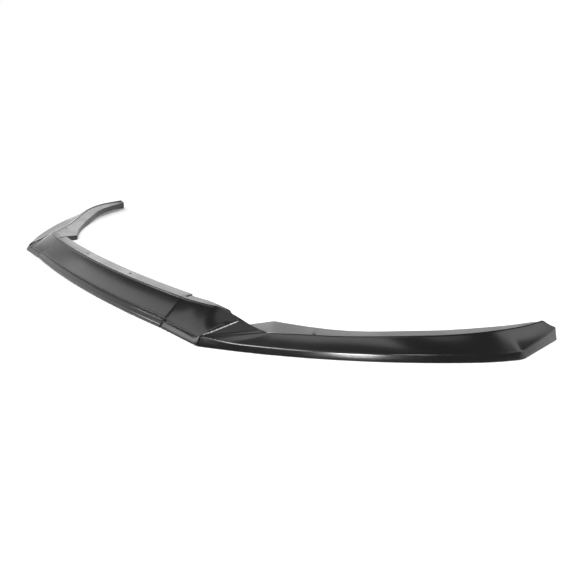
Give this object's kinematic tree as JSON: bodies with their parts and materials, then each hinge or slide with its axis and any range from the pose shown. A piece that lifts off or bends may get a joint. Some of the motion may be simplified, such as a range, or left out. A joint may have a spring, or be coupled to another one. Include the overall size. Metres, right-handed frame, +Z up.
{
  "type": "front splitter lip",
  "caption": "Low front splitter lip for a passenger car: bowed chin with hollow face, angled corners, wings that sweep back to raked tails, and flanges for fixing under the bumper.",
  "frame": {"origin": "middle of the lip's plan, at the height of its lower edge", "axes": "+X to the right across the car as seen from in front of the lip, +Y rearwards from the chin towards the tails, +Z up"},
  "size_m": [1.756, 0.5399, 0.05],
  "materials": {
    "plastic": "satin black, moulded in",
    "steel": "zinc plated"
  },
  "bodies": {
    "root": {"centre_section": "plastic", "side_section_right": "plastic", "side_section_left": "plastic", "screw_right_upper": "steel", "screw_right_lower": "steel", "screw_left_upper": "steel", "screw_left_lower": "steel", "nut_right_upper": "steel", "nut_right_lower": "steel", "nut_left_upper": "steel", "nut_left_lower": "steel"}
  },
  "joints": []
}
